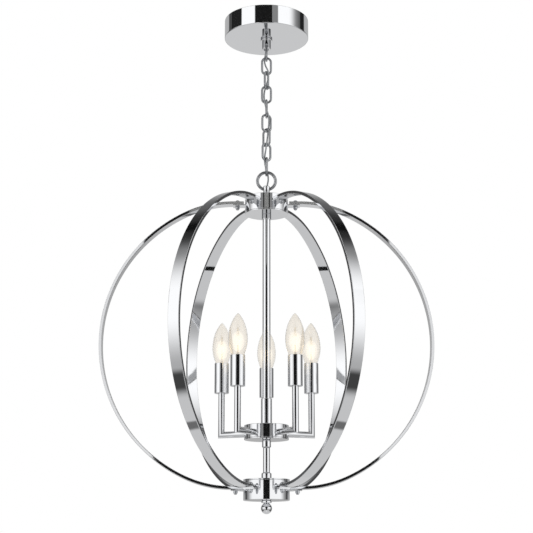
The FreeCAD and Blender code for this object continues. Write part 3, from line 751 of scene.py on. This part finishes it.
class ORB_OT_bulbs(bpy.types.Operator):
    """Lit candle bulbs: envelope, cap, glass stem, filaments and their glow"""
    bl_idname = "orb.bulbs"
    bl_label = "Bulbs"

    def execute(self, context):
        for k in CANDLES:
            low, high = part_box("bulb_glass_%d" % k)
            middle = middle_of("bulb_glass_%d" % k)
            self.bulb(k, "bulb_%d_body" % k, (middle.x, middle.y), low.z, high.z)
        return {"FINISHED"}

    def bulb(self, k, body, at, low, high):
        """The pieces of one bulb, whose glass stands on its cap at the low level."""
        outer = self.envelope(low, high, 0.0)
        inner = self.envelope(low, high, sizes().glass_wall)[::-1]
        piece("bulb_%d_envelope" % k, [turned(np.vstack([outer, inner]), at, 72)], "bulb_glass", body,
              ["bulb_glass_%d" % k], sharp_degrees=60)
        cap = self.cap(at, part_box("bulb_base_%d" % k)[0].z, low)
        piece("bulb_%d_cap" % k, [cap], "cap_brass", body, ["bulb_base_%d" % k],
              sharp_degrees=50)
        stem = ((0, -1), (5.2, -1), (4.6, 4), (2.6, 9), (1.5, 16), (1.1, 26), (0, 27))
        profile = [(r * MM, low + z * MM) for r, z in stem]
        piece("bulb_%d_stem" % k, [turned(profile, at, 32, closed=False)], "bulb_glass", body)
        self.filaments(k, body, at, low)

    def envelope(self, low, high, inset):
        """Candle outline: a curve through stations of height share and radius."""
        share = np.array([0.0, 0.04, 0.104, 0.20, 0.318, 0.45, 0.60, 0.72, 0.83, 0.92, 0.975])
        radius = np.array([8.5, 9.3, 11.35, 13.95, 16.45, 17.45, 16.35, 13.95, 10.45, 6.15, 2.9]) * MM
        tip_radius, tip_drop = 1.1 * MM, 0.4 * MM
        # A cubic between each two stations, whose slopes follow from the stations beside them, then the tip.
        points = np.stack([radius - inset, low + share * (high - low)], axis=1)
        ends = np.vstack([2 * points[0] - points[1], points, 2 * points[-1] - points[-2]])
        t = np.linspace(0, 1, 8, endpoint=False)[:, None, None]
        p0, p1, p2, p3 = (ends[i:len(ends) - 3 + i][None] for i in range(4))
        curve = 0.5 * (2 * p1 + (p2 - p0) * t + (2 * p0 - 5 * p1 + 4 * p2 - p3) * t ** 2
                       + (3 * p1 - p0 - 3 * p2 + p3) * t ** 3)
        side = curve.transpose(1, 0, 2).reshape(-1, 2)
        top = high - inset
        return np.vstack([side, points[-1:], [[tip_radius, top - tip_drop], [0, top]]])

    def cap(self, at, low, top):
        """A rolled thread: the radius swings by half the depth as a sine of height over pitch minus turn."""
        crest, neck, depth, pitch = 6.55 * MM, 6.9 * MM, 0.7 * MM, sizes().thread_pitch
        tip, margin, steps = 4 * MM, 2 * MM, 64
        angle = np.linspace(0, TAU, steps, endpoint=False)
        z = np.linspace(low + tip + margin, top - margin, 110)[:, None]
        thread = crest - depth / 2 + depth / 2 * np.sin(TAU * z / pitch - angle)
        # From the contact button over the insulator to the foot of the thread.
        rims = [(0, low), (2.6 * MM, low), (3 * MM, low + 1.2 * MM), (5.4 * MM, low + tip),
                (6.2 * MM, low + tip + 1 * MM)]
        below = np.repeat([[radius] for radius, _ in rims], steps, axis=1)
        r = np.vstack([below, thread, np.full((1, steps), neck), np.zeros((1, steps))])
        z = np.concatenate([[level for _, level in rims], z[:, 0], [top, top]])[:, None]
        return about(at, r, angle, z), False, True, False

    def filaments(self, k, body, at, low):
        """Four straight filaments, the fine wires that hold them up, and the haze of light round them, a
        half ellipse turned about the bulb's axis."""
        foot, head, tip = [(low + z * MM, r * MM) for z, r in ((19, 4.4), (42, 2.6), (58, 0.8))]
        sets = (("filaments", "lit_filament", 1.0 * MM, (foot, head)),
                ("supports", "cap_brass", 0.4 * MM, (head, tip)))
        for name, finish_name, wire, ends in sets:
            wires = []
            for turn in np.radians([45, 135, 225, 315]):
                z, r = (np.linspace(start, end, 12) for start, end in zip(*ends))
                normal = (-math.sin(turn), math.cos(turn), 0)
                wires.append(carried(circle(wire, 12), about(at, r, turn, z), normal))
            piece("bulb_%d_%s" % (k, name), wires, finish_name, body)
        width, half_height, centre = 12 * MM, 19 * MM, low + 33 * MM
        a = np.linspace(-math.pi / 2, math.pi / 2, 24)
        haze = np.stack([width * np.cos(a), centre + half_height * np.sin(a)], axis=1)
        piece("bulb_%d_glow" % k, [turned(haze, at, 48, closed=False)], "glow_haze", body)


# The cord's place beside the foot of each link: degrees from +X, and millimetres from the axis.
CORD_CROSSINGS = ((136, 8.2), (318, 9.4), (123, 9.0), (234, 7.0), (336, 6.2), (69, 7.3), (270, 8.7),
                  (143, 6.6), (45, 6.8))


def cord_route():
    """Corners of the cord from the canopy to the rod, one beside the foot of each link."""
    canopy_low, holder_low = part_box("canopy")[0].z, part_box("loop_holder")[0].z
    hub_top, ring_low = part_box("top_hub")[1].z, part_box("hang_ring")[0].z
    beside_holder, beside_ring = 16 * MM, 12 * MM
    inside_canopy, over_holder_end, over_ring_foot = 18 * MM, 3 * MM, 8.8 * MM
    under_hub_top, on_axis, in_rod = 9 * MM, 27 * MM, 46 * MM
    points = [(0, beside_holder, canopy_low + inside_canopy),
              (0, beside_holder, holder_low + over_holder_end)]
    for name, (azimuth, swing) in zip(LINK_NAMES, CORD_CROSSINGS):
        a = math.radians(azimuth)
        points.append((swing * MM * math.cos(a), swing * MM * math.sin(a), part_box(name)[0].z))
    return points + [(0, beside_ring, ring_low + over_ring_foot), (0, beside_ring, hub_top - under_hub_top),
                     (0, 0, hub_top - on_axis), (0, 0, hub_top - in_rod)]


class ORB_OT_cord(bpy.types.Operator):
    """Clear supply cord laced through the chain, cut where it crosses each joint"""
    bl_idname = "orb.cord"
    bl_label = "Supply cord"

    def execute(self, context):
        line = self.smoothed(cord_route())
        # One stretch stays with the canopy, one lies across each hinge, and one stays with the orb.
        bodies = [CANOPY] + LINK_BODIES + [RING, ORB]
        above_all, below_all = 1.0, -1.0
        middles = [middle_of(name).z for name in LINK_NAMES + ["hang_ring"]]
        cuts = [above_all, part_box("loop_holder")[1].z] + middles + [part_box("top_hub")[1].z, below_all]
        for number, (above, below) in enumerate(zip(cuts, cuts[1:])):
            inside = np.flatnonzero((line[:, 2] <= above) & (line[:, 2] >= below))
            made = self.stretch(number, line[max(inside[0] - 1, 0):inside[-1] + 2])
            if number == 0:
                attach(made, CANOPY)
                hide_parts("supply_cord")
            elif number == len(bodies):
                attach(made, ORB)
            else:
                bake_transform(made)
        return {"FINISHED"}

    def smoothed(self, corners):
        """Points of a quadratic B-spline with the corners as its control points."""
        curve = bpy.data.curves.new("cord_route", "CURVE")
        curve.dimensions, curve.resolution_u = "3D", 24
        spline = curve.splines.new("NURBS")
        spline.points.add(len(corners) - 1)
        spline.points.foreach_set("co", np.hstack([np.array(corners), np.ones((len(corners), 1))]).ravel())
        spline.order_u = 3
        spline.use_endpoint_u = True
        holder = new_object("cord_route", curve)
        points = vertex_places(bpy.data.meshes.new_from_object(holder))
        bpy.data.objects.remove(holder)
        return points

    def stretch(self, number, path):
        """A round tube: each ring lies square to the path, in a frame kept steady by one fixed direction.

        Its UVs are millimetres, x across and height along.
        """
        along = np.gradient(path, axis=0)
        along /= np.linalg.norm(along, axis=1, keepdims=True)
        side = np.cross(along, np.array([0.0, 1.0, 0.0]))
        side /= np.linalg.norm(side, axis=1, keepdims=True)
        up = np.cross(side, along)
        ring = circle(sizes().cord_diameter, 20)
        tube = path[:, None] + ring[None, :, :1] * side[:, None] + ring[None, :, 1:] * up[:, None]
        grid = (tube, False, True, True)
        made = piece("supply_cord_%d" % number, [grid], "clear_flex", None)
        loops = np.zeros(len(made.data.loops), dtype=np.int32)
        made.data.loops.foreach_get("vertex_index", loops)
        at = vertex_places(made.data)[loops]
        made.data.uv_layers.new(name="route").data.foreach_set("uv", (at[:, [0, 2]] / MM).ravel())
        return made


def vertex_places(mesh):
    """The mesh's vertices as an array of rows of x, y and z."""
    places = np.zeros(len(mesh.vertices) * 3)
    mesh.vertices.foreach_get("co", places)
    return places.reshape(-1, 3)


class ORB_OT_fittings(bpy.types.Operator):
    """Small machined pieces and what is hidden: holder, pin, stem, bar, nuts and leads"""
    bl_idname = "orb.fittings"
    bl_label = "Fittings"

    def execute(self, context):
        for nodes, finish_name, body, slot in (
                (("loop_holder", "holder_pin"), "chrome_plate", CANOPY, "polished_chrome"),
                (("crossbar", "nipple", "nipple_nuts"), "zinc_plate", CANOPY, "zinc_steel"),
                (("eye_stem",), "chrome_plate", ORB, "polished_chrome"),
                (("arm_leads",), "lead_sleeving", ORB, "lead_insulation")):
            for node in nodes:
                dressed_copy(node, finish_name, body)
        return {"FINISHED"}


class ORB_OT_stage(bpy.types.Operator):
    """Camera, white studio with dark cards, boards that mirrors see, and paper floor"""
    bl_idname = "orb.stage"
    bl_label = "Studio"

    def execute(self, context):
        scene = context.scene
        side_pixels, focal_pixels, sensor = 533, 1331.6, 36.0
        distance, below_ceiling, tilt = 2.3897, 1.0387, 13.08
        scene.render.resolution_x = scene.render.resolution_y = side_pixels
        scene.view_settings.view_transform = "Standard"
        data = bpy.data.cameras.new("camera")
        data.sensor_width, data.lens = sensor, focal_pixels * sensor / side_pixels
        data.clip_end = 50
        camera = new_object("camera", data)
        camera.location = (0, -distance, -below_ceiling)
        camera.rotation_euler = (math.radians(90 + tilt), 0, 0)
        scene.camera = camera
        self.floor()
        self.boards()
        self.world(scene)
        return {"FINISHED"}

    def sheet(self, name, corners, finish_name):
        """One flat face through the corners."""
        mesh = bpy.data.meshes.new(name)
        mesh.from_pydata(corners, [], [tuple(range(len(corners)))])
        made = new_object(name, mesh)
        mesh.materials.append(material(finish_name))
        return made

    def floor(self):
        """White paper well below the part, which mirrors and glass don't see."""
        width, drop = 12.0, 0.9
        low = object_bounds()[0].z - drop
        floor = self.sheet("paper_floor", [(x, y, low) for x, y in rectangle(width, width)], "studio_paper")
        floor.visible_glossy = False
        floor.visible_transmission = False
        floor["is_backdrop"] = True

    def boards(self):
        """A black flag a metre in front of the axis and a grey strip before it, which only mirrors see."""
        # The flag's edge from its foot up as (x, z), the same on both sides. Its head is wider to the left.
        edge = [(0.24, -1.7), (0.285, -0.75), (0.29, -0.67), (0.36, -0.62), (0.385, -0.45), (0.36, -0.3),
                (0.32, -0.26), (0.32, 0.18)]
        left, right, foot, top = -0.58, 0.27, 0.2, 0.9
        head = [(right, foot), (right, top), (left, top), (left, foot)]
        flag = edge + head + [(-x, z) for x, z in edge[::-1]]
        strip = [(-0.2, -0.25), (0.2, -0.25), (0.2, 0.17), (-0.2, 0.17)]
        boards = (("flag", flag, -1.0, "black_felt"), ("grey_strip", strip, -0.99, "grey_board"))
        for name, outline, depth, finish_name in boards:
            board = self.sheet(name, [(x, depth, z) for x, z in outline], finish_name)
            board.visible_camera = board.visible_diffuse = board.visible_transmission = False
            board.visible_shadow = board.visible_volume_scatter = False
            board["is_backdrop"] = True

    def world(self, scene):
        """White studio. Metal sees it as soft fades and dark cards, by compass direction (0 towards the
        camera) and height in degrees; the camera, the glass's transmitted rays and matt surfaces see
        plain white."""
        world = bpy.data.worlds.new("studio")
        scene.world = world
        world.use_nodes = True
        tree = world.node_tree
        tree.nodes.clear()
        out = add_node(tree, "OutputWorld")
        direction = add_node(tree, "TexCoord").outputs["Generated"]
        parts = add_node(tree, "SeparateXYZ", links={0: direction}).outputs

        def maths(operation, first, second=0.0):
            node = add_node(tree, "Math", {"operation": operation})
            for socket, value in zip(node.inputs, (first, second)):
                if isinstance(value, (int, float)):
                    socket.default_value = value
                else:
                    tree.links.new(value, socket)
            return node.outputs[0]

        def both(first, second):
            return maths("MULTIPLY", first, second)

        def rise(value, start, end):
            """0 below start, 1 above end, smooth between."""
            return add_node(tree, "MapRange", {"interpolation_type": "SMOOTHSTEP"},
                            {"Value": value}, From_Min=start, From_Max=end).outputs["Result"]

        def without(mask):
            """1 where the mask is 0, and 0 where it is 1."""
            return maths("SUBTRACT", 1.0, mask)

        def fall(value, start, end):
            """1 below start, 0 above end, smooth between."""
            return without(rise(value, start, end))

        def card(value, low, high, soft):
            """1 between low and high, with edges soft to either side."""
            return both(rise(value, low - soft, low + soft), fall(value, high - soft, high + soft))

        def less(mask, share):
            """1, and less by the share where the mask is 1."""
            return without(both(mask, share))

        def more(start, mask, share):
            """The start, and more by the share where the mask is 1."""
            return maths("ADD", start, both(mask, share))

        def towards(level, mask, target):
            """The level moved to the target where the mask is 1."""
            return maths("ADD", both(level, without(mask)), both(mask, target))

        degrees = 180 / math.pi
        side = both(maths("ARCTAN2", parts["X"], both(parts["Y"], -1.0)), degrees)
        turn = maths("ABSOLUTE", side)
        height = both(maths("ARCSINE", parts["Z"]), degrees)

        # The white walls fade to the sides and downwards.
        level = both(less(rise(turn, 70, 108), 0.74), less(fall(height, -21, 10), 0.60))
        # A dark bar low on either side, and a dark card beyond each.
        level = towards(level, both(card(height, -35.5, -23.5, 2.5), card(turn, 62, 128, 4)), 0.05)
        level = towards(level, both(card(turn, 112, 128, 5), rise(height, -38, -34)), 0.06)
        # The wall behind, a little lighter below.
        level = towards(level, rise(turn, 128, 142), more(0.34, fall(height, -20, 0), 0.22))
        # The fade upwards, deeper to the sides, and the ceiling.
        deeper = more(0.35, rise(turn, 64, 86), 0.33)
        level = both(level, less(rise(height, 25, 50), deeper))
        level = both(level, less(rise(height, 50, 57), 0.70))
        # The floor, and a dark patch on it to either side.
        level = towards(level, fall(height, -40, -36), 0.54)
        level = towards(level, both(card(height, -54.5, -51.5, 0.5), card(turn, 88, 102, 2)), 0.14)
        # The front wall between two grey borders.
        level = towards(level, both(card(turn, 15, 32, 1.5), rise(height, 4.0, 4.6)), 0.22)
        level = towards(level, card(turn, -15, 14, 1.0), 0.72)
        # What the canopy's wall sees: a fade to one side, a grey card behind and a black card at either side.
        overhead = card(height, 18, 27, 1)
        level = both(level, less(both(rise(side, 62, 92), overhead), 0.62))
        level = towards(level, both(rise(turn, 124, 130), overhead), 0.42)
        level = towards(level, both(card(side, -113, -72, 1.5), overhead), 0.015)
        level = towards(level, both(card(side, 106, 124, 1.5), overhead), 0.015)

        path = add_node(tree, "LightPath").outputs
        mirrored = both(path["Is Glossy Ray"], without(path["Is Transmission Ray"]))
        mirrored = both(mirrored, without(path["Is Camera Ray"]))
        brightness = 1.19
        strength = towards(1.0, mirrored, both(level, brightness))
        light = add_node(tree, "Background", Color=(1, 1, 1, 1), links={"Strength": strength})
        tree.links.new(light.outputs[0], out.inputs["Surface"])


class ORB_PT_panel(bpy.types.Panel):
    """Lists the chandelier's settings and pieces"""
    bl_idname = "ORB_PT_panel"
    bl_label = "Orb chandelier"
    bl_space_type = "VIEW_3D"
    bl_region_type = "UI"
    bl_category = "Orb chandelier"

    def draw(self, context):
        for group in (context.scene.orb_sizes, context.scene.orb_finish):
            for name in group.__annotations__:
                self.layout.prop(group, name)
        for operator in OPERATORS:
            self.layout.operator(operator.bl_idname)


OPERATORS = (ORB_OT_canopy, ORB_OT_chain, ORB_OT_hubs, ORB_OT_rods, ORB_OT_bands, ORB_OT_candles,
             ORB_OT_bulbs, ORB_OT_cord, ORB_OT_fittings, ORB_OT_stage)
CLASSES = (OrbSizes, OrbFinish) + OPERATORS + (ORB_PT_panel,)


def register():
    for cls in CLASSES:
        bpy.utils.register_class(cls)
    bpy.types.Scene.orb_sizes = PointerProperty(type=OrbSizes)
    bpy.types.Scene.orb_finish = PointerProperty(type=OrbFinish)


def unregister():
    del bpy.types.Scene.orb_sizes
    del bpy.types.Scene.orb_finish
    for cls in reversed(CLASSES):
        bpy.utils.unregister_class(cls)


def main():
    register()
    for operator in OPERATORS:
        group, name = operator.bl_idname.split(".")
        getattr(getattr(bpy.ops, group), name)()


if __name__ == "__main__":
    main()
